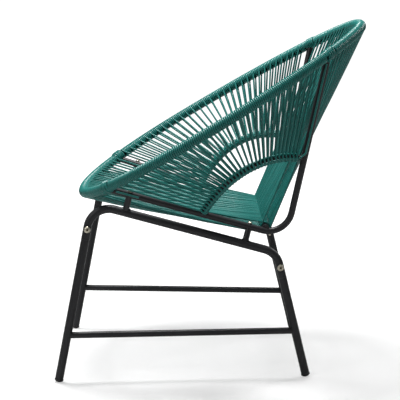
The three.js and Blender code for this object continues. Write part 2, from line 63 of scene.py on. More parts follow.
# Studio: a white sweep of floor and wall, an even pale sky and three broad soft lamps.
# The sweep adds white of its own for the camera alone, more of it away from the chair,
# so that the chair's soft shadow is all that shows on it.
FLOOR_HALF = 9
WALL_HEIGHT = 9
SWEEP_RADIUS = 2
SWEEP_STEPS = 24
SKY_STRENGTH = 0.2
SKY_SEEN = 1
FLOOR_WHITE = 0.5
NEAR_GLOW = 0.5
FAR_GLOW = 1
GLOW_FROM = 0.5
GLOW_TO = 2.6
LAMP_AIM = Vector((0, 0, 0.45))

sweep = bmesh.new()
bmesh.ops.create_grid(sweep, x_segments=1, y_segments=1, size=FLOOR_HALF)
far_edges = [e for e in sweep.edges if all(v.co.y > 0 for v in e.verts)]
bent = bmesh.ops.spin(sweep, geom=far_edges, cent=(0, FLOOR_HALF, SWEEP_RADIUS), axis=(1, 0, 0),
                      dvec=(0, 0, 0), angle=math.pi / 2, steps=SWEEP_STEPS, use_merge=False)
top_edges = [g for g in bent["geom_last"] if isinstance(g, bmesh.types.BMEdge)]
raised = bmesh.ops.extrude_edge_only(sweep, edges=top_edges)["geom"]
wall_top = [g for g in raised if isinstance(g, bmesh.types.BMVert)]
bmesh.ops.translate(sweep, vec=(0, 0, WALL_HEIGHT), verts=wall_top)
sweep_mesh = bpy.data.meshes.new("studio_sweep")
sweep.to_mesh(sweep_mesh)
sweep.free()
sweep_mesh.shade_smooth()
floor = bpy.data.objects.new("studio_sweep", sweep_mesh)
bpy.context.collection.objects.link(floor)

paper = bpy.data.materials.new("studio_paper")
paper.use_nodes = True
nodes, links = paper.node_tree.nodes, paper.node_tree.links
paper_shader = nodes["Principled BSDF"]
paper_shader.inputs["Base Color"].default_value = (FLOOR_WHITE, FLOOR_WHITE, FLOOR_WHITE, 1)
paper_shader.inputs["Roughness"].default_value = 1
paper_shader.inputs["Specular IOR Level"].default_value = 0
light_path = nodes.new("ShaderNodeLightPath")
paper_place = nodes.new("ShaderNodeTexCoord")
from_chair = nodes.new("ShaderNodeVectorMath")
from_chair.operation = "LENGTH"
links.new(paper_place.outputs["Object"], from_chair.inputs[0])
glow_rise = nodes.new("ShaderNodeMapRange")
glow_rise.interpolation_type = "SMOOTHSTEP"
glow_rise.inputs["From Min"].default_value = GLOW_FROM
glow_rise.inputs["From Max"].default_value = GLOW_TO
glow_rise.inputs["To Min"].default_value = NEAR_GLOW
glow_rise.inputs["To Max"].default_value = FAR_GLOW
links.new(from_chair.outputs["Value"], glow_rise.inputs["Value"])
glow_level = nodes.new("ShaderNodeMath")
glow_level.operation = "MULTIPLY"
links.new(light_path.outputs["Is Camera Ray"], glow_level.inputs[0])
links.new(glow_rise.outputs["Result"], glow_level.inputs[1])
glow = nodes.new("ShaderNodeEmission")
links.new(glow_level.outputs[0], glow.inputs["Strength"])
both = nodes.new("ShaderNodeAddShader")
links.new(paper_shader.outputs[0], both.inputs[0])
links.new(glow.outputs[0], both.inputs[1])
links.new(both.outputs[0], nodes["Material Output"].inputs["Surface"])
floor.data.materials.append(paper)

world = bpy.data.worlds.new("studio_sky")
world.use_nodes = True
nodes, links = world.node_tree.nodes, world.node_tree.links
sky = nodes["Background"]
sky.inputs["Color"].default_value = (1, 1, 1, 1)
light_path = nodes.new("ShaderNodeLightPath")
sky_level = nodes.new("ShaderNodeMix")
sky_level.inputs["A"].default_value = SKY_STRENGTH
sky_level.inputs["B"].default_value = SKY_SEEN
links.new(light_path.outputs["Is Camera Ray"], sky_level.inputs["Factor"])
links.new(sky_level.outputs["Result"], sky.inputs["Strength"])
bpy.context.scene.world = world
bpy.context.scene.view_settings.view_transform = "Standard"

for lamp_name, place, width, power in (
        ("lamp_over", (-0.3, 0.4, 3.0), 0.9, 120),
        ("lamp_front", (-2.3, -2.2, 2.0), 0.7, 16),
        ("lamp_back", (2.2, 1.6, 2.0), 0.9, 26)):
    lamp_data = bpy.data.lights.new(lamp_name, "AREA")
    lamp_data.shape = "DISK"
    lamp_data.size = width
    lamp_data.energy = power
    lamp = bpy.data.objects.new(lamp_name, lamp_data)
    lamp.location = place
    lamp.rotation_euler = (LAMP_AIM - Vector(place)).to_track_quat("-Z", "Y").to_euler()
    bpy.context.collection.objects.link(lamp)

# Rim: one closed ring of 16 mm steel tube, bent to an egg outline that is wider at the front half.
# It slopes down to the front, is welded shut and powder coated black, and the cord hides nearly all of it.
RIM_LENGTH = 0.7936
RIM_WIDTH = 0.6828
RIM_SLOPE = math.radians(30.76)
RIM_RADIUS = 0.008
RIM_POWER = 0.917
RIM_TAPER_SHARE = 0.154
RIM_SAMPLES = 720

rim_low, rim_high = (Vector(corner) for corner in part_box("rim_tube"))
rim_middle = (rim_low + rim_high) / 2
rim_uphill = Vector((math.cos(RIM_SLOPE), 0, math.sin(RIM_SLOPE)))
rim_normal = Vector((-math.sin(RIM_SLOPE), 0, math.cos(RIM_SLOPE)))
SIDEWAYS = Vector((0, 1, 0))


def soften(value):
    return math.copysign(abs(value) ** RIM_POWER, value)


def rim_station(share):
    uphill_share = -soften(math.cos(2 * math.pi * share))
    half_width = RIM_WIDTH / 2 * (1 - RIM_TAPER_SHARE * uphill_share)
    across = half_width * soften(math.sin(2 * math.pi * share))
    return rim_middle + rim_uphill * (RIM_LENGTH / 2 * uphill_share) + SIDEWAYS * across


rim_stations = [rim_station(i / RIM_SAMPLES) for i in range(RIM_SAMPLES + 1)]
rim_marks = [0]
for before, after in zip(rim_stations, rim_stations[1:]):
    rim_marks.append(rim_marks[-1] + (after - before).length)
rim_around = rim_marks[-1]


def along_route(stations, marks, distance):
    """The point and heading at a distance along a route of stations."""
    low, high = 0, len(marks) - 2
    while low < high:
        middle = (low + high + 1) // 2
        if marks[middle] <= distance:
            low = middle
        else:
            high = middle - 1
    share = (distance - marks[low]) / (marks[low + 1] - marks[low])
    point = stations[low].lerp(stations[low + 1], share)
    return point, (stations[low + 1] - stations[low]).normalized()


def rim_at(distance):
    return along_route(rim_stations, rim_marks, distance % rim_around)


def rim_climb(climb):
    """The distance along the right half of the rim to where it has climbed this far from its middle."""
    for i, station in enumerate(rim_stations):
        here = (station - rim_middle).dot(rim_uphill)
        if here > climb:
            below = (rim_stations[i - 1] - rim_middle).dot(rim_uphill)
            share = (climb - below) / (here - below)
            return rim_marks[i - 1] + share * (rim_marks[i] - rim_marks[i - 1])


def speckle_group():
    """Broad patches and a fine grain on object coordinates, shared by all the finishes."""
    group = bpy.data.node_groups.new("speckle", "ShaderNodeTree")
    face = group.interface
    for socket in ("Patch Scale", "Grain Scale"):
        face.new_socket(socket, in_out="INPUT", socket_type="NodeSocketFloat")
    for socket in ("Patches", "Grain"):
        face.new_socket(socket, in_out="OUTPUT", socket_type="NodeSocketFloat")
    inside, wires = group.nodes, group.links
    entry, leave = inside.new("NodeGroupInput"), inside.new("NodeGroupOutput")
    place = inside.new("ShaderNodeTexCoord")
    for scale_socket, result, detail in (("Patch Scale", "Patches", 3), ("Grain Scale", "Grain", 2)):
        noise = inside.new("ShaderNodeTexNoise")
        noise.inputs["Detail"].default_value = detail
        wires.new(place.outputs["Object"], noise.inputs["Vector"])
        wires.new(entry.outputs[scale_socket], noise.inputs["Scale"])
        wires.new(noise.outputs["Fac"], leave.inputs[result])
    return group


speckle = speckle_group()
GRAIN_STRENGTH = 0.6


def finish(name, dark, light, roughness, grain_scale, grain_height, patch_scale=20, metallic=0,
           specular=0.5):
    """A finish that wanders between two colours, with a fine grain in its height and its gloss."""
    material = bpy.data.materials.new(name)
    material.use_nodes = True
    tree, wires = material.node_tree.nodes, material.node_tree.links
    shader = tree["Principled BSDF"]
    shader.inputs["Metallic"].default_value = metallic
    shader.inputs["Specular IOR Level"].default_value = specular
    effect = tree.new("ShaderNodeGroup")
    effect.node_tree = speckle
    effect.inputs["Patch Scale"].default_value = patch_scale
    effect.inputs["Grain Scale"].default_value = grain_scale
    colour = tree.new("ShaderNodeMix")
    colour.data_type = "RGBA"
    colour.inputs["A"].default_value = (*dark, 1)
    colour.inputs["B"].default_value = (*light, 1)
    wires.new(effect.outputs["Patches"], colour.inputs["Factor"])
    wires.new(colour.outputs["Result"], shader.inputs["Base Color"])
    gloss = tree.new("ShaderNodeMapRange")
    gloss.inputs["To Min"].default_value = roughness[0]
    gloss.inputs["To Max"].default_value = roughness[1]
    wires.new(effect.outputs["Grain"], gloss.inputs["Value"])
    wires.new(gloss.outputs["Result"], shader.inputs["Roughness"])
    bump = tree.new("ShaderNodeBump")
    bump.inputs["Strength"].default_value = GRAIN_STRENGTH
    bump.inputs["Distance"].default_value = grain_height
    wires.new(effect.outputs["Grain"], bump.inputs["Height"])
    wires.new(bump.outputs["Normal"], shader.inputs["Normal"])
    return material


powder_coat = finish("black_powder_coat", (0.012, 0.0125, 0.0145), (0.019, 0.0195, 0.022), (0.34, 0.5),
                     grain_scale=1100, grain_height=0.00012, specular=0.4)


def dress(node_name, material):
    """Gives a CAD piece its finish in every slot."""
    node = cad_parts[node_name]
    for i in range(len(node.material_slots)):
        node.material_slots[i].material = material


dress("rim_tube", powder_coat)

# Side rails: 16 mm tube from the front of the rim back under the seat, bent up to the top of the rim.
# Each is one bent length, welded to the rim at both ends, and the seat bolts pass down through it.
RAIL_RADIUS = 0.008
RAIL_FRONT_SHARE = 0.79
RAIL_TOP_SHARE = 0.71
RAIL_FRONT_FALL = 0.00385
RAIL_CORNER_BACK = 0.1513
RAIL_CORNER_DROP = 0.29
RAIL_CORNER_SPREAD = 0.3886
RAIL_BEND = 0.055
TUBE_SIDES = 24
BEND_STEPS = 14
SIDES = {"left": -1, "right": 1}

front_joint = rim_climb(-RIM_LENGTH / 2 * RAIL_FRONT_SHARE)
top_joint = rim_climb(RIM_LENGTH / 2 * RAIL_TOP_SHARE)
rail_front = rim_at(front_joint)[0] - Vector((0, 0, RAIL_FRONT_FALL))
rail_top = rim_at(top_joint)[0]
rail_corner = rim_middle + Vector((RAIL_CORNER_BACK, RAIL_CORNER_SPREAD / 2, -RAIL_CORNER_DROP))


def on_side(point, side):
    """A point of the right side, or its mirror image on the left."""
    return Vector((point.x, point.y * SIDES[side], point.z))


def drawn_on(bm, edges, step):
    """Extrudes a ring of edges by a step and returns the new ring."""
    grown = bmesh.ops.extrude_edge_only(bm, edges=edges)["geom"]
    bmesh.ops.translate(bm, vec=step, verts=[g for g in grown if isinstance(g, bmesh.types.BMVert)])
    return [g for g in grown if isinstance(g, bmesh.types.BMEdge)]


def bent_tube(corners, bends, radius):
    """A closed tube along straight runs, spun round at each inner corner on its bend radius."""
    bm = bmesh.new()
    heading = (corners[1] - corners[0]).normalized()
    place = Matrix.Translation(corners[0]) @ heading.to_track_quat("Z", "Y").to_matrix().to_4x4()
    bmesh.ops.create_circle(bm, segments=TUBE_SIDES, radius=radius, matrix=place)
    ring = bm.edges[:]
    here = corners[0]
    for corner, after, bend in zip(corners[1:-1], corners[2:], bends):
        onward = (after - corner).normalized()
        turn = heading.angle(onward)
        start = corner - heading * bend * math.tan(turn / 2)
        ring = drawn_on(bm, ring, start - here)
        inward = (onward - heading * onward.dot(heading)).normalized()
        axis = heading.cross(onward).normalized()
        spun = bmesh.ops.spin(bm, geom=ring, cent=start + inward * bend, axis=axis,
                              dvec=(0, 0, 0), angle=turn, steps=BEND_STEPS, use_merge=False)
        ring = [g for g in spun["geom_last"] if isinstance(g, bmesh.types.BMEdge)]
        here = corner + onward * bend * math.tan(turn / 2)
        heading = onward
    drawn_on(bm, ring, corners[-1] - here)
    bmesh.ops.holes_fill(bm, edges=[e for e in bm.edges if e.is_boundary], sides=0)
    bmesh.ops.recalc_face_normals(bm, faces=bm.faces)
    return bm


def stand_for(bm, node_name, material, crease_degrees=40):
    """Makes a finished mesh the piece that stands for a CAD node."""
    mesh = bpy.data.meshes.new(node_name + "_shown")
    bm.to_mesh(mesh)
    bm.free()
    mesh.shade_smooth()
    mesh.set_sharp_from_angle(angle=math.radians(crease_degrees))
    mesh.materials.append(material)
    piece = bpy.data.objects.new(node_name + "_shown", mesh)
    bpy.context.collection.objects.link(piece)
    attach(piece, "root")
    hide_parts(node_name)


for side in SIDES:
    rail_corners = [on_side(point, side) for point in (rail_front, rail_corner, rail_top)]
    rail = bent_tube(rail_corners, [RAIL_BEND], RAIL_RADIUS)
    stand_for(rail, f"side_rail_{side}", powder_coat)

# Side arcs: 12 mm tube bowed out between the seat run and the back run of each rail, saddled and welded.
# The side loops of cord turn round them.
ARC_RADIUS = 0.006
ARC_FOOT_AHEAD = 0.2111
ARC_HEAD_UP = 0.1948
ARC_FOOT_LEAD = Vector((0.035, 0.0539, 0.0683))
ARC_HEAD_LEAD = Vector((-0.1225, 0.0612, 0.0263))
ARC_STEPS = 48

rail_ahead = (rail_front - rail_corner).normalized()
rail_upward = (rail_top - rail_corner).normalized()
arc_foot = rail_corner + rail_ahead * ARC_FOOT_AHEAD
arc_head = rail_corner + rail_upward * ARC_HEAD_UP


def arc_station(share):
    foot_lead, head_lead = arc_foot + ARC_FOOT_LEAD, arc_head + ARC_HEAD_LEAD
    rest = 1 - share
    return (arc_foot * rest ** 3 + foot_lead * (3 * share * rest ** 2)
            + head_lead * (3 * share ** 2 * rest) + arc_head * share ** 3)


arc_stations = [arc_station(i / ARC_STEPS) for i in range(ARC_STEPS + 1)]
arc_marks = [0]
for before, after in zip(arc_stations, arc_stations[1:]):
    arc_marks.append(arc_marks[-1] + (after - before).length)


def bowed_tube(stations, radius):
    """A closed tube through stations: each ring is carried on, then turned square to the route."""
    bm = bmesh.new()
    heading = (stations[1] - stations[0]).normalized()
    place = Matrix.Translation(stations[0]) @ heading.to_track_quat("Z", "Y").to_matrix().to_4x4()
    bmesh.ops.create_circle(bm, segments=TUBE_SIDES, radius=radius, matrix=place)
    ring = bm.edges[:]
    for i in range(1, len(stations)):
        ring = drawn_on(bm, ring, stations[i] - stations[i - 1])
        onward = (stations[min(i + 1, len(stations) - 1)] - stations[i - 1]).normalized()
        turn = heading.rotation_difference(onward).to_matrix()
        ring_verts = list({v for e in ring for v in e.verts})
        bmesh.ops.rotate(bm, cent=stations[i], matrix=turn, verts=ring_verts)
        heading = onward
    bmesh.ops.holes_fill(bm, edges=[e for e in bm.edges if e.is_boundary], sides=0)
    bmesh.ops.recalc_face_normals(bm, faces=bm.faces)
    return bm


for side in SIDES:
    side_stations = [on_side(station, side) for station in arc_stations]
    stand_for(bowed_tube(side_stations, ARC_RADIUS), f"side_arc_{side}", powder_coat)

# Cross bar: 16 mm tube laid over both rails just ahead of their bend, saddled and welded.
# The seat loops and the back loops take turns along it.
BAR_RADIUS = 0.008
BAR_AHEAD = 0.054
BAR_LIFT = 0.0075
BAR_OVERHANG = 0.003
FRAME_REAR_OUT = 0.0135
FRAME_FRONT_IN = 0.015
FRAME_FRONT_FALL = 0.0061
LEG_SPLAY = math.radians(0.3)

frame_rear = rail_corner + SIDEWAYS * FRAME_REAR_OUT
frame_front = rail_front - SIDEWAYS * FRAME_FRONT_IN - Vector((0, 0, FRAME_FRONT_FALL))
frame_ahead = (frame_front - frame_rear).normalized()
splayed = Vector((0, math.sin(LEG_SPLAY), -math.cos(LEG_SPLAY)))
under_rail = (splayed - frame_ahead * splayed.dot(frame_ahead)).normalized()
bar_joint = rail_corner + rail_ahead * BAR_AHEAD - under_rail * BAR_LIFT
bar_half = bar_joint.y + BAR_OVERHANG
bar_left = Vector((bar_joint.x, -bar_half, bar_joint.z))
bar_right = Vector((bar_joint.x, bar_half, bar_joint.z))
stand_for(bent_tube([bar_left, bar_right], [], BAR_RADIUS), "cross_bar", powder_coat)

# Leg frames: on each side a 20 mm top tube runs under the rail and is bent down at both ends.
# Its ends are sockets, and the legs' spigots go up into them and are bolted through.
LEG_RADIUS = 0.01
TOP_TUBE_DROP = 0.0405
TOP_TUBE_FRONT_PAST = 0.0277
TOP_TUBE_REAR_AHEAD = 0.0131
FRONT_BEND = 0.05
REAR_BEND = 0.0505
FRONT_LEG_LEAN = math.radians(11.1)
REAR_LEG_LEAN = math.radians(13.66)
BOLT_PAST_BEND = 0.0071
SEAM_PAST_BOLT = 0.025

outside = under_rail.cross(frame_ahead).normalized()
frame_run = (frame_front - frame_rear).length


def top_tube_spot(ahead_of_rear):
    return frame_rear + frame_ahead * ahead_of_rear + under_rail * TOP_TUBE_DROP


def leg_heading(lean, towards_back):
    across, down = towards_back * math.sin(lean), -math.cos(lean)
    sidestep = -(outside.x * across + outside.z * down) / outside.y
    return Vector((across, sidestep, down)).normalized()


legs = {
    "front": {"apex": top_tube_spot(frame_run + TOP_TUBE_FRONT_PAST), "bend": FRONT_BEND,
              "heading": leg_heading(FRONT_LEG_LEAN, -1)},
    "rear": {"apex": top_tube_spot(TOP_TUBE_REAR_AHEAD), "bend": REAR_BEND,
             "heading": leg_heading(REAR_LEG_LEAN, 1)},
}
for end, other in (("front", "rear"), ("rear", "front")):
    leg = legs[end]
    inbound = (leg["apex"] - legs[other]["apex"]).normalized()
    bend_end = leg["bend"] * math.tan(inbound.angle(leg["heading"]) / 2)
    leg["bolt"] = leg["apex"] + leg["heading"] * (bend_end + BOLT_PAST_BEND)
    leg["seam"] = leg["bolt"] + leg["heading"] * SEAM_PAST_BOLT

for side in SIDES:
    run = [legs["front"]["seam"], legs["front"]["apex"], legs["rear"]["apex"], legs["rear"]["seam"]]
    top_tube = bent_tube([on_side(point, side) for point in run], [FRONT_BEND, REAR_BEND], LEG_RADIUS)
    stand_for(top_tube, f"leg_top_tube_{side}", powder_coat)

# Feet and legs: a 20 mm tube from the seam down to a moulded black plug with a domed sole.
# The plug's flange is a little wider than the tube, and its sole is worn flat where it stands.
SEAM_GAP = 0.0003
FOOT_RADIUS = 0.0107
FOOT_DOME = 0.005
FOOT_FLANGE = 0.0035
FOOT_FLAT_DEPTH = 0.0005
FOOT_SHOULDER = 0.0006
FOOT_SIDES = 32
DOME_STEPS = 8
MERGE_DISTANCE = 1e-6

dome_radius = (FOOT_RADIUS ** 2 + FOOT_DOME ** 2) / (2 * FOOT_DOME)
flange_top = FOOT_DOME - dome_radius + FOOT_FLANGE
dome_angles = [math.asin(FOOT_RADIUS / dome_radius) * k / DOME_STEPS for k in range(DOME_STEPS + 1)]
plug_profile = [(dome_radius * math.sin(angle), -dome_radius * math.cos(angle)) for angle in dome_angles]
plug_profile += [(FOOT_RADIUS, flange_top - FOOT_SHOULDER), (FOOT_RADIUS - FOOT_SHOULDER, flange_top),
                 (0, flange_top)]
foot_plastic = finish("foot_plastic", (0.012, 0.012, 0.012), (0.02, 0.02, 0.021), (0.5, 0.68),
                      grain_scale=700, grain_height=0.0001)


def turned(profile, sides):
    """A round piece: a profile of radii and heights spun about the Z axis and closed at its poles."""
    bm = bmesh.new()
    rim = [bm.verts.new((radius, 0, height)) for radius, height in profile]
    edges = [bm.edges.new(pair) for pair in zip(rim, rim[1:])]
    bmesh.ops.spin(bm, geom=edges + rim, cent=(0, 0, 0), axis=(0, 0, 1), dvec=(0, 0, 0),
                   angle=2 * math.pi, steps=sides, use_merge=True)
    bmesh.ops.remove_doubles(bm, verts=bm.verts, dist=MERGE_DISTANCE)
    bmesh.ops.recalc_face_normals(bm, faces=bm.faces)
    return bm


def set_at(bm, origin, heading):
    """Stands a turned piece at a place, with its own Z axis along a heading."""
    place = Matrix.Translation(origin) @ heading.to_track_quat("Z", "Y").to_matrix().to_4x4()
    bmesh.ops.transform(bm, matrix=place, verts=bm.verts)
    return bm


for end, leg in legs.items():
    upward = -leg["heading"]
    sole_height = dome_radius - FOOT_FLAT_DEPTH
    dome_centre = leg["seam"] + leg["heading"] * ((leg["seam"].z - sole_height) / -leg["heading"].z)
    leg_start = dome_centre + upward * (flange_top + SEAM_GAP)
    for side in SIDES:
        leg_ends = [on_side(point, side) for point in (leg_start, leg["seam"] - upward * SEAM_GAP)]
        stand_for(bent_tube(leg_ends, [], LEG_RADIUS), f"{end}_leg_{side}", powder_coat)
        plug = set_at(turned(plug_profile, FOOT_SIDES), on_side(dome_centre, side), on_side(upward, side))
        cut = bmesh.ops.bisect_plane(plug, geom=plug.verts[:] + plug.edges[:] + plug.faces[:],
                                     plane_co=(0, 0, 0), plane_no=(0, 0, -1), clear_outer=True)
        sole_edges = [g for g in cut["geom_cut"] if isinstance(g, bmesh.types.BMEdge)]
        bmesh.ops.holes_fill(plug, edges=sole_edges, sides=0)
        bmesh.ops.recalc_face_normals(plug, faces=plug.faces)
        stand_for(plug, f"foot_plug_{end}_{side}", foot_plastic, crease_degrees=30)

# Stretchers: 15.6 mm tube from each front leg to the rear leg behind it, low down near the floor.
# Each end is cut to a saddle that fits round the leg, and welded there before the powder coat.
STRETCHER_RADIUS = 0.0078
STRETCHER_HEIGHT = 0.114

for side in SIDES:
    ends = [leg["seam"] + leg["heading"] * ((leg["seam"].z - STRETCHER_HEIGHT) / -leg["heading"].z)
            for leg in legs.values()]
    stretcher = bent_tube([on_side(point, side) for point in ends], [], STRETCHER_RADIUS)
    stand_for(stretcher, f"stretcher_{side}", powder_coat)

# Spacers and seat bolts: a short 15 mm post leans from the top tube to the rail at front and rear.
# A fillet of weld rounds it off at the foot. A bright dome-headed bolt comes down into it through the rail.
SPACER_RADIUS = 0.0075
SPACER_FRONT_BEHIND = 0.0528
SPACER_REAR_AHEAD = 0.0927
WELD_LEG = 0.004
SEAT_HEAD_RADIUS = 0.0058
SEAT_HEAD_HEIGHT = 0.004
SEAT_GRIP = 0.016
BOLT_RADIUS = 0.003
BOLT_SIDES = 24
RECESS_RADIUS = 0.0031
RECESS_DEPTH = 0.003
RECESS_CORNERS = 6
LIP_SHARE = 0.97
FLOOR_DIP_SHARE = 0.8
MOUTH_ROOM_SHARE = 1.2
CROWN_DEGREES = range(10, 80, 12)
FILLET_STEPS = 6
HAIR = 1e-5
# Painted shade: the dark tone laid into the bolts' recesses, where shade falls.
RECESS_SHADE = (0.11, 0.095, 0.06)
FIT_GAP = 0.0003

zinc_plate = finish("zinc_plate", (0.5, 0.46, 0.36), (0.68, 0.64, 0.53), (0.26, 0.42),
                    grain_scale=600, grain_height=0.00006, patch_scale=140, metallic=1)


def paint_recess_shade(material):
    """Paints shade into a finish where the mesh says that it lies deep, as in a bolt's recess."""
    tree, wires = material.node_tree.nodes, material.node_tree.links
    shader = tree["Principled BSDF"]
    depth = tree.new("ShaderNodeAttribute")
    depth.attribute_name = "depth"
    plain = shader.inputs["Base Color"].links[0].from_socket
    # Painted shade: the colour is mixed towards the dark tone inside the recess.
    shaded_colour = tree.new("ShaderNodeMix")
    shaded_colour.data_type = "RGBA"
    shaded_colour.inputs["B"].default_value = (*RECESS_SHADE, 1)
    wires.new(depth.outputs["Fac"], shaded_colour.inputs["Factor"])
    wires.new(plain, shaded_colour.inputs["A"])
    wires.new(shaded_colour.outputs["Result"], shader.inputs["Base Color"])


paint_recess_shade(zinc_plate)


def dome_bolt(length, head_radius, head_height):
    """A bolt whose domed head stands on the origin, with a six-sided recess, and whose shank goes down."""
    dome = [(math.cos(angle), math.sin(angle)) for angle in map(math.radians, CROWN_DEGREES)]
    mouth = RECESS_RADIUS / head_radius
    crown = [(head_radius * out, head_height * up) for out, up in dome if out > mouth * MOUTH_ROOM_SHARE]
    floor_height = head_height - RECESS_DEPTH
    profile = [(0, -length), (BOLT_RADIUS, -length), (BOLT_RADIUS, 0), (head_radius, 0), *crown,
               (RECESS_RADIUS, head_height * LIP_SHARE), (RECESS_RADIUS, floor_height),
               (0, floor_height * FLOOR_DIP_SHARE)]
    bm = turned(profile, BOLT_SIDES)
    # The recess's faces are marked here for the painted shade that darkens them.
    depth = bm.verts.layers.float.new("depth")
    half_flat = math.pi / RECESS_CORNERS
    for vert in bm.verts:
        in_recess = vert.co.z > floor_height - HAIR and abs(vert.co.xy.length - RECESS_RADIUS) < HAIR
        if in_recess:
            angle = math.atan2(vert.co.y, vert.co.x) % (2 * half_flat) - half_flat
            vert.co.xy *= math.cos(half_flat) / math.cos(angle)
        if 0 < vert.co.z < floor_height + HAIR:
            vert[depth] = 1
    return bm


def welded_post(length, wall):
    """A post between two tubes' axes, with a hollow fillet of weld where it leaves the lower wall."""
    bow = [math.pi / 2 * k / FILLET_STEPS for k in range(FILLET_STEPS + 1)]
    fillet = [(SPACER_RADIUS + WELD_LEG * (1 - math.sin(angle)), wall + WELD_LEG * (1 - math.cos(angle)))
              for angle in bow]
    return turned([(0, 0), (fillet[0][0], 0), *fillet, (SPACER_RADIUS, length), (0, length)], TUBE_SIDES)


def narrowed(bm, foot, upward, across, radius):
    """Draws a post's flare in to the post's own width across the tube that it stands on."""
    for vert in bm.verts:
        out = vert.co - foot
        out -= upward * out.dot(upward)
        if out.length > radius:
            vert.co -= across * (out.dot(across) * (1 - radius / out.length))


for end, ahead_of_rear in (("front", frame_run - SPACER_FRONT_BEHIND), ("rear", SPACER_REAR_AHEAD)):
    spacer_top = rail_corner.lerp(rail_front, ahead_of_rear / frame_run)
    spacer_foot = top_tube_spot(ahead_of_rear)
    spacer_up = (spacer_top - spacer_foot).normalized()
    spacer_across = spacer_up.cross(frame_ahead).normalized()
    for side in SIDES:
        foot, upward, across = (on_side(item, side) for item in (spacer_foot, spacer_up, spacer_across))
        post = set_at(welded_post((spacer_top - spacer_foot).length, LEG_RADIUS), foot, upward)
        narrowed(post, foot, upward, across, SPACER_RADIUS)
        stand_for(post, f"spacer_{end}_{side}", powder_coat)
        head_seat = on_side(spacer_top + spacer_up * (RAIL_RADIUS + FIT_GAP), side)
        seat_bolt = dome_bolt(2 * RAIL_RADIUS + SEAT_GRIP, SEAT_HEAD_RADIUS, SEAT_HEAD_HEIGHT)
        stand_for(set_at(seat_bolt, head_seat, upward), f"seat_bolt_{end}_{side}", zinc_plate,
                  crease_degrees=35)

# Leg bolts and nuts: a larger dome-headed bolt goes through each socket and spigot from the outer face.
# A plain black six-sided nut with chamfered corners holds it on the inner face.
LEG_HEAD_RADIUS = 0.008
LEG_HEAD_HEIGHT = 0.0044
NUT_RADIUS = 0.0063
NUT_HEIGHT = 0.005
NUT_CHAMFER = 0.0006
NUT_CORNERS = 6
BOLT_POINT = 0.002

for end, leg in legs.items():
    for side in SIDES:
        grip = 2 * (LEG_RADIUS + FIT_GAP) + NUT_HEIGHT + BOLT_POINT
        bolt = dome_bolt(grip, LEG_HEAD_RADIUS, LEG_HEAD_HEIGHT)
        head_seat = on_side(leg["bolt"] + outside * (LEG_RADIUS + FIT_GAP), side)
        stand_for(set_at(bolt, head_seat, on_side(outside, side)), f"leg_bolt_{end}_{side}",
                  zinc_plate, crease_degrees=35)
        nut = bmesh.new()
        bmesh.ops.create_circle(nut, segments=NUT_CORNERS, radius=NUT_RADIUS)
        drawn_on(nut, nut.edges[:], Vector((0, 0, NUT_HEIGHT)))
        bmesh.ops.holes_fill(nut, edges=[e for e in nut.edges if e.is_boundary], sides=0)
        bmesh.ops.bevel(nut, geom=nut.edges[:], offset=NUT_CHAMFER, offset_type="OFFSET", segments=2,
                        profile=0.5, affect="EDGES", material=-1)
        bmesh.ops.recalc_face_normals(nut, faces=nut.faces)
        nut_seat = on_side(leg["bolt"] - outside * (LEG_RADIUS + FIT_GAP), side)
        stand_for(set_at(nut, nut_seat, on_side(-outside, side)), f"leg_nut_{end}_{side}",
                  powder_coat, crease_degrees=25)

# Cord panels: one unbroken 4.7 mm plastic cord is wound round the rim, turn against turn.
# Every few turns it leaves the rim's inner side for its holder, goes round it and comes back for the next.
CORD_RADIUS = 0.00235
CORD_PITCH = 0.00486
TURN_STEPS = 12
U_TURN_STEPS = 8
HANG_STEPS = 6
LEAST_HANG_SHARE = 0.72
CORD_ROUNDING = 2
WRAP_HALF = 0.014
WRAP_RADIUS = 0.0143
SEAT_LOOPS = 31
BACK_LOOPS = 32
BAR_SKEW = 0.0015
CORD_SEED = 7

rng = random.Random(CORD_SEED)
wound_radius = RIM_RADIUS + FIT_GAP + CORD_RADIUS
cord_plastic = finish("green_cord", (0.007, 0.138, 0.122), (0.014, 0.192, 0.17), (0.3, 0.42),
                      grain_scale=420, grain_height=0.00008, patch_scale=26, specular=0.5)


def rim_across(distance):
    """The rim's centre at a distance, and its outward direction across the tube."""
    point, along = rim_at(distance)
    return point, rim_normal.cross(along).normalized()


def rim_surface(distance, angle, radius):
    point, outward = rim_across(distance)
    return point + outward * (radius * math.cos(angle)) + rim_normal * (radius * math.sin(angle))


def loop_margin(joint, side, holder_point):
    """How far from a joint the nearest loop leaves the rim, to pass beside the joint's winding."""
    point, along = rim_at(joint)
    angle = (along * side).angle(holder_point - point)
    return WRAP_HALF + 2 * CORD_RADIUS + max(WRAP_RADIUS / math.tan(angle), 0)


def return_angle(distance, holder_point):
    """Where a cord from the holder reaches the rim's far face, as an angle round the tube."""
    point, outward = rim_across(distance)
    away = holder_point - point
    lean = math.atan2(away.dot(rim_normal), away.dot(outward))
    return (lean - 3 * math.pi / 2) % (2 * math.pi)


def u_turn(distance, leave_angle, holder_point, holder_along, holder_radius, skew, wander, slack, pinch):
    """The cord's way round its holder, and the holder's two directions that it turns through.

    The slack is how far the cord hangs off the holder where it leaves it, and the pinch is the angle by
    which its two runs are drawn together on the side towards the rim.
    """
    point, outward = rim_across(distance)
    away = (holder_point - point).normalized()
    leaving = outward * math.cos(leave_angle) + rim_normal * math.sin(leave_angle)
    face = away.cross(holder_along).normalized()
    face *= math.copysign(1, face.dot(leaving))
    reach = (away - holder_along * away.dot(holder_along)).normalized()
    turn_radius = holder_radius + FIT_GAP + CORD_RADIUS + rng.uniform(0, wander)
    drift = rng.uniform(-wander, wander)
    points = []
    for k in range(U_TURN_STEPS + 1):
        angle = (math.pi + 2 * pinch) * k / U_TURN_STEPS - pinch
        across = face * math.cos(angle) + reach * math.sin(angle)
        sidestep = holder_along * (drift + skew * (k / U_TURN_STEPS - 0.5))
        points.append(holder_point + sidestep + across * turn_radius - face * (slack * k / U_TURN_STEPS))
    return points, face, reach


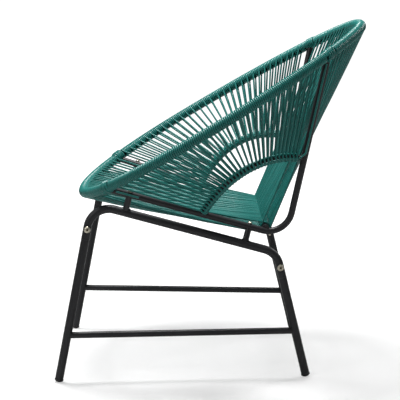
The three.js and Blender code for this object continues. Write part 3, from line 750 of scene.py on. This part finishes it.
def hung(run_from, run_to, outward, depth):
    """Points inside a run of cord that has stretched and bows out from a straight line."""
    shares = [i / HANG_STEPS for i in range(1, HANG_STEPS)]
    return [run_from.lerp(run_to, share) + outward * (4 * depth * share * (1 - share)) for share in shares]


def cord_panel(rim_from, rim_to, holder, loops, holder_radius, skew, wander, tuck_over, tuck_under, hang,
               slack=0, pinch=0):
    """The path of one panel's cord, and the holder's bed: the points and directions that its loops turn on.

    The tucks are how far the cord leaves and meets the rim inside the tangents to its holder.
    The hang is how far the loosest runs bow out from a straight line.
    """
    loop_from = rim_from + loop_margin(rim_from, -1, holder(0)[0])
    loop_to = rim_to - loop_margin(rim_to, 1, holder(1)[0])
    start = rim_from + WRAP_HALF + CORD_RADIUS
    wound_run = rim_to - rim_from - 2 * (WRAP_HALF + CORD_RADIUS)
    turns = round(wound_run / CORD_PITCH)
    pitch = wound_run / turns
    carried = {}
    for i in range(loops):
        place = loop_from + (loop_to - loop_from) * i / (loops - 1)
        carried[round((place - start) / pitch)] = i / (loops - 1)
    angles = []
    for k in range(turns + 1):
        here = start + k * pitch
        holder_share = min(max((here - loop_from) / (loop_to - loop_from), 0), 1)
        angle = return_angle(here, holder(holder_share)[0]) - tuck_under
        if angles:
            angle += 2 * math.pi * round((angles[-1] - angle) / (2 * math.pi))
        angles.append(angle)
    path, bed = [], []
    carry_angle = math.pi + tuck_under + tuck_over
    carry_steps = math.ceil(TURN_STEPS * carry_angle / (2 * math.pi))
    for k in range(turns):
        if k in carried:
            for j in range(carry_steps + 1):
                wound = carry_angle * j / carry_steps
                place = start + pitch * (k + wound / (2 * math.pi))
                path.append(rim_surface(place, angles[k] + wound, wound_radius))
            holder_point, holder_along = holder(carried[k])
            turn, face, reach = u_turn(start + k * pitch, angles[k] + tuck_under + math.pi, holder_point,
                                       holder_along, holder_radius, skew, wander, slack, pinch)
            back = rim_surface(start + pitch * (k + 1), angles[k + 1], wound_radius)
            path += hung(path[-1], turn[0], -face, hang * rng.uniform(LEAST_HANG_SHARE, 1))
            path += turn
            path += hung(turn[-1], back, -face, hang * rng.uniform(LEAST_HANG_SHARE, 1))
            bed.append((holder_point, face, reach))
            continue
        sweep_angle = angles[k + 1] - angles[k] + 2 * math.pi
        for j in range(TURN_STEPS):
            share = j / TURN_STEPS
            place = start + pitch * (k + share)
            path.append(rim_surface(place, angles[k] + sweep_angle * share, wound_radius))
    return path, bed


def cord_piece(name, runs, node_names):
    """A round cord along its runs of points, made a mesh, that stands for its CAD solids."""
    curve = bpy.data.curves.new(name, "CURVE")
    curve.dimensions = "3D"
    curve.bevel_depth = CORD_RADIUS
    curve.bevel_resolution = CORD_ROUNDING
    curve.use_fill_caps = True
    for run in runs:
        spline = curve.splines.new("POLY")
        spline.points.add(len(run) - 1)
        for knot, point in zip(spline.points, run):
            knot.co = (*point, 1)
    drawn = bpy.data.objects.new(name, curve)
    mesh = bpy.data.meshes.new_from_object(drawn)
    bpy.data.objects.remove(drawn)
    mesh.shade_smooth()
    mesh.materials.clear()
    mesh.materials.append(cord_plastic)
    piece = bpy.data.objects.new(name, mesh)
    bpy.context.collection.objects.link(piece)
    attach(piece, "root")
    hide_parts(*node_names)


bar_room = bar_joint.y - RAIL_RADIUS - FIT_GAP - CORD_RADIUS
bar_step = 2 * bar_room / (SEAT_LOOPS + BACK_LOOPS - 1)


def bar_spot_seat(share):
    return Vector((bar_joint.x, (bar_room - bar_step) * (2 * share - 1), bar_joint.z)), SIDEWAYS


def bar_spot_back(share):
    return Vector((bar_joint.x, bar_room * (1 - 2 * share), bar_joint.z)), SIDEWAYS


seat_path = cord_panel(-front_joint, front_joint, bar_spot_seat, SEAT_LOOPS, BAR_RADIUS, BAR_SKEW,
                       wander=0.001, tuck_over=math.radians(38), tuck_under=math.radians(4),
                       hang=0.008, slack=0.0035)[0]
back_path = cord_panel(top_joint, rim_around - top_joint, bar_spot_back, BACK_LOOPS, BAR_RADIUS, BAR_SKEW,
                       wander=0.001, tuck_over=math.radians(38), tuck_under=math.radians(20), hang=0.005)[0]
cord_piece("seat_cord", [seat_path], ["seat_cords"])
cord_piece("back_cord", [back_path], ["back_cords"])

# Side cords: loops fan out from the rim to the bowed tube, in the same weave as the seat.
# One more cord comes down the rail from the top joint and runs to and fro along the bowed tube, where the
# turns of the loops cross over it. A short one lies along the rail behind the front joint.
SIDE_LOOPS = 32
ARC_MARGIN = 0.014
ARC_SKEW = -0.002
BED_ANGLES = (178, 140, 102, 64, 26, -12, -50, -82)
BED_SINK = 0.0006
BED_PAST = 0.004
RAIL_CORD_START = 0.02
FRONT_CORD_END = 0.075
RAIL_CORD_STEPS = 6

arc_room = arc_marks[-1] - 2 * ARC_MARGIN
rail_cord_gap = RAIL_RADIUS + FIT_GAP + CORD_RADIUS


def arc_spot(share):
    return along_route(arc_stations, arc_marks, ARC_MARGIN + arc_room * share)


def beside_rail(rail_from, rail_to):
    """Points of a cord along a straight run of the right rail, on its outer face."""
    run = (rail_to - rail_from).normalized()
    outer = (SIDEWAYS - run * SIDEWAYS.dot(run)).normalized() * rail_cord_gap
    return [rail_from.lerp(rail_to, i / RAIL_CORD_STEPS) + outer for i in range(RAIL_CORD_STEPS + 1)]


def along_bed(bed, degrees):
    """A pass of cord along the holder, at an angle from the face where the loops come on."""
    turn = math.radians(degrees)
    depth = ARC_RADIUS + CORD_RADIUS - BED_SINK
    run = [point + (face * math.cos(turn) + reach * math.sin(turn)) * depth for point, face, reach in bed]
    before = run[0] + (run[0] - run[1]).normalized() * BED_PAST
    after = run[-1] + (run[-1] - run[-2]).normalized() * BED_PAST
    return [before, *run, after]


side_path, side_bed = cord_panel(front_joint, top_joint, arc_spot, SIDE_LOOPS, ARC_RADIUS, ARC_SKEW,
                                 wander=0.0005, tuck_over=math.radians(20), tuck_under=math.radians(100),
                                 hang=0.001, pinch=math.radians(58))
arc_cord = beside_rail(rail_top - rail_upward * RAIL_CORD_START, arc_head + rail_upward * ARC_MARGIN)
for i, degrees in enumerate(BED_ANGLES):
    arc_cord += along_bed(side_bed, degrees)[::-1 if i % 2 == 0 else 1]
front_cord = beside_rail(rail_front - rail_ahead * RAIL_CORD_START, rail_front - rail_ahead * FRONT_CORD_END)
for side in SIDES:
    runs = [[on_side(point, side) for point in run] for run in (side_path, arc_cord, front_cord)]
    cord_piece(f"side_cord_{side}", runs, [f"side_cords_{side}"])

# Joint windings: where a rail meets the rim the same cord is wound thicker, one layer over the other.
# The upper layer runs back across the lower one at a slant, which locks it.
WRAP_EXTRA = 0.0005
CROSSING_RISES = {"front": 0.0028, "top": 0.0014}
CROSSING_TURNS = 4
CROSSING_SHARE = 0.8

for end, joint in (("front", front_joint), ("top", top_joint)):
    under_turns = round(2 * WRAP_HALF / CORD_PITCH)
    steps = under_turns * TURN_STEPS
    winding = [rim_surface(joint - WRAP_HALF + 2 * WRAP_HALF * i / steps, 2 * math.pi * i / TURN_STEPS,
                           wound_radius + WRAP_EXTRA) for i in range(steps)]
    reach = WRAP_HALF * CROSSING_SHARE
    steps = CROSSING_TURNS * TURN_STEPS
    winding += [rim_surface(joint + reach - 2 * reach * i / steps, 2 * math.pi * i / TURN_STEPS,
                            wound_radius + WRAP_EXTRA + CROSSING_RISES[end]) for i in range(1, steps)]
    for side in SIDES:
        run = [on_side(point, side) for point in winding]
        cord_piece(f"joint_cord_{end}_{side}", [run], [f"joint_wrap_{end}_{side}"])
